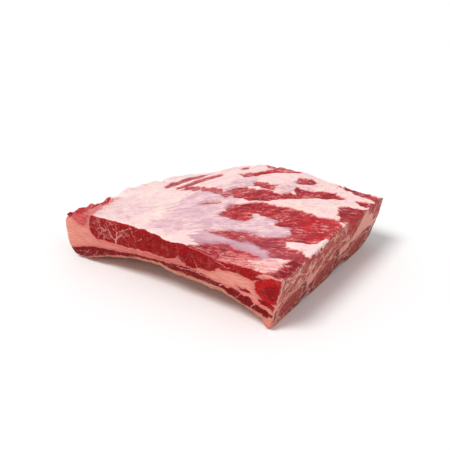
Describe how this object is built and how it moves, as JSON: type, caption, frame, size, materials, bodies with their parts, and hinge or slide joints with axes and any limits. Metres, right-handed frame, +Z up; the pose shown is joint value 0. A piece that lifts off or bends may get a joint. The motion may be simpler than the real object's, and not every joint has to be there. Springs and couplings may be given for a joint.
{
  "type": "raw beef short ribs",
  "caption": "Raw beef plate short ribs: a sawn slab of lean and fat over rib bones, with an arched bone side and a membrane-covered top.",
  "frame": {"origin": "middle of the bounding box's bottom, on the plane that the slab lies on", "axes": "+X along the ribs, +Y across the ribs away from the long cut face that shows the layers, +Z up"},
  "size_m": [0.247, 0.208, 0.0652],
  "materials": {
    "lean": "moist raw lean with pale fat and membrane on its upper face",
    "deep_lean": "moist darker lean between and around the ribs",
    "fat": "satin pinkish fat",
    "bone": "sawn bone, red and granular with a pale rim",
    "inner_skin": "moist pale membrane"
  },
  "bodies": {
    "root": {"top_muscle": "lean", "edge_muscle": "deep_lean", "corner_muscle": "lean", "fat_seam": "fat", "rib_meat": "deep_lean", "rib_bone_near": "bone", "rib_bone_middle": "bone", "rib_bone_far": "bone", "inner_skin": "inner_skin"}
  },
  "joints": []
}
